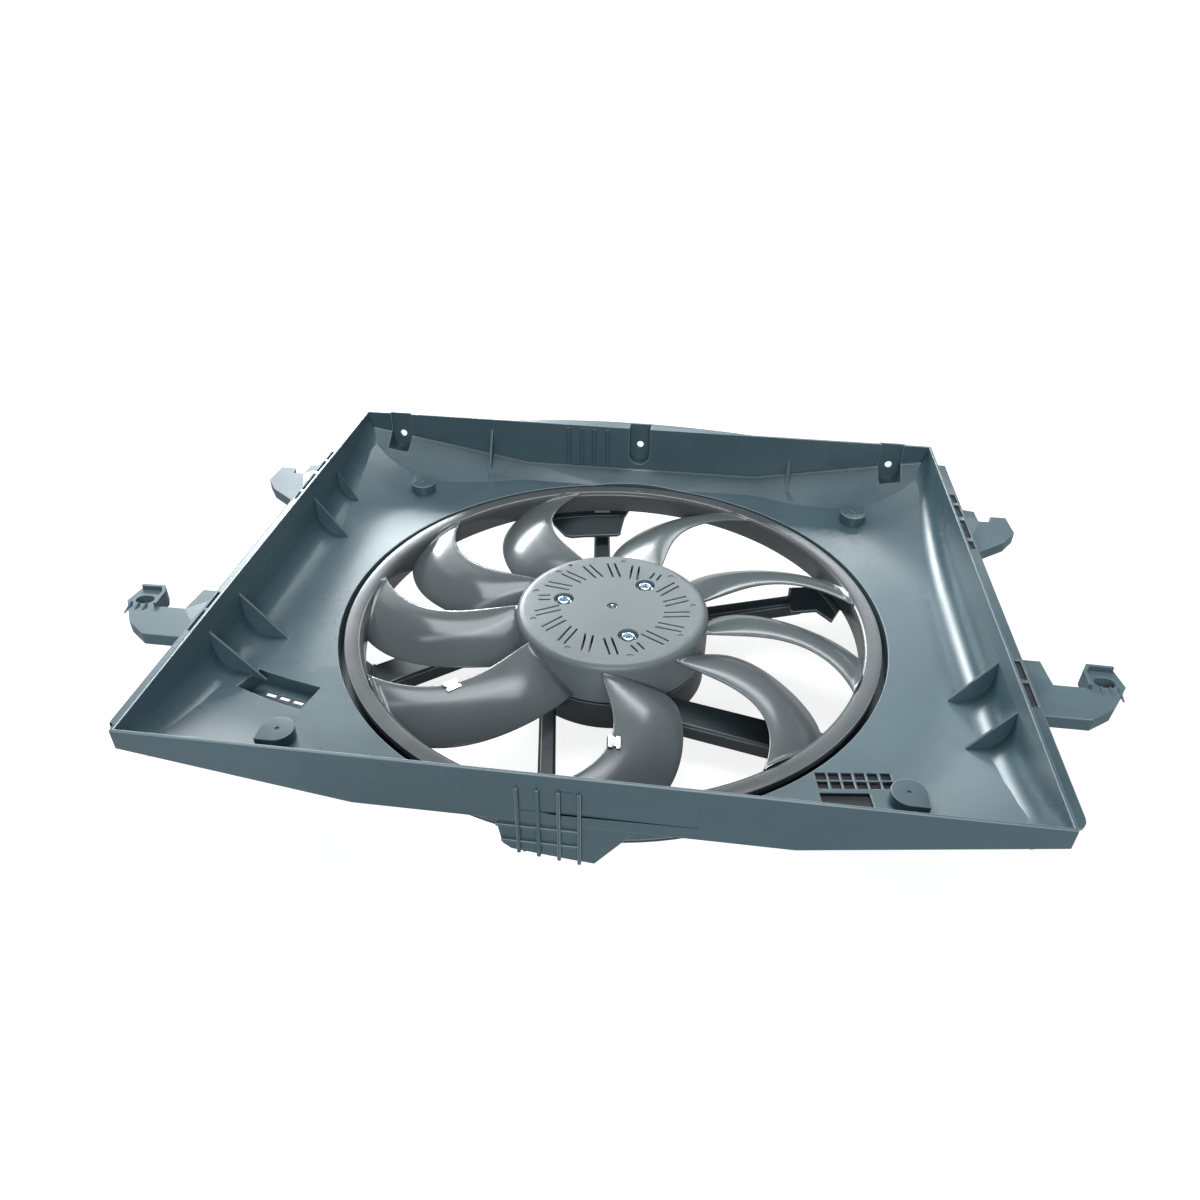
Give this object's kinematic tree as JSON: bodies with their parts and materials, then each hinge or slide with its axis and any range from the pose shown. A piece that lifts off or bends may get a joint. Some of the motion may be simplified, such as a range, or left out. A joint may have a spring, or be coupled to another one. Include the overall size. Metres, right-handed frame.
{
  "type": "radiator cooling fan",
  "caption": "Engine radiator cooling fan: a ring-tipped axial fan on a flat outer-rotor motor, held by spokes in a moulded tray shroud with mounting ears.",
  "frame": {"origin": "centre of the motor's rear face, on the fan axis, with the rim of the tray facing up", "axes": "+Z along the fan axis from the motor's rear face to the tray's rim, +X across the tray towards the ear on the right, +Y towards the wall with the three holes"},
  "size_m": [0.732, 0.504, 0.118],
  "materials": {
    "shroud_plastic": "moulded glass-filled plastic, fine satin grain",
    "carrier_plastic": "moulded glass-filled plastic, fine satin grain",
    "bearing_steel_outer": "ground bearing steel",
    "spacer_brass": "turned brass",
    "base_casting": "die-cast aluminium",
    "zinc_screws_base": "blue zinc plate",
    "core_iron": "laminated electrical steel",
    "frame_plastic": "natural nylon",
    "copper_wire": "enamelled copper wire",
    "board": "green solder mask",
    "capacitor_can": "sleeved aluminium cans",
    "transistor_body": "black moulding compound",
    "gasket_rubber": "black rubber",
    "cover_casting": "die-cast aluminium",
    "zinc_screws_cover": "blue zinc plate",
    "socket_plastic": "black nylon",
    "pin_brass": "tinned brass",
    "hub_plastic": "moulded plastic, lightly polished face",
    "blade_plastic": "moulded plastic, semi-gloss",
    "ring_plastic": "moulded plastic, semi-gloss",
    "spring_steel": "bright spring steel",
    "zinc_screws": "blue zinc plate",
    "bell_steel": "drawn steel sheet",
    "magnet": "dark sintered magnet",
    "shaft_steel": "ground steel",
    "ring_steel": "phosphated spring steel",
    "bearing_steel": "ground bearing steel"
  },
  "bodies": {
    "housing": {"shroud": "shroud_plastic", "carrier_rim": "carrier_plastic", "motor_carrier": "carrier_plastic", "bearing_outer_races": "bearing_steel_outer", "bearing_spacer": "spacer_brass", "motor_base": "base_casting", "base_screws": "zinc_screws_base", "stator_core": "core_iron", "winding_frame": "frame_plastic", "stator_windings": "copper_wire", "circuit_board": "board", "capacitors": "capacitor_can", "power_transistors": "transistor_body", "cover_gasket": "gasket_rubber", "rear_cover": "cover_casting", "cover_screws": "zinc_screws_cover", "connector_socket": "socket_plastic", "connector_pins": "pin_brass"},
    "rotor": {"fan_hub": "hub_plastic", "fan_blade_1": "blade_plastic", "fan_blade_2": "blade_plastic", "fan_blade_3": "blade_plastic", "fan_blade_4": "blade_plastic", "fan_blade_5": "blade_plastic", "fan_blade_6": "blade_plastic", "fan_blade_7": "blade_plastic", "fan_blade_8": "blade_plastic", "fan_blade_9": "blade_plastic", "fan_ring": "ring_plastic", "balance_clips": "spring_steel", "hub_screws": "zinc_screws", "rotor_bell": "bell_steel", "rotor_magnets": "magnet", "motor_shaft": "shaft_steel", "retaining_ring": "ring_steel", "bearing_inner_races": "bearing_steel"}
  },
  "joints": [
    {"name": "fan_spin", "type": "hinge", "parent": "housing", "child": "rotor", "pos_m": [0, 0, 0], "axis": [0, 0, 1], "continuous": true}
  ]
}
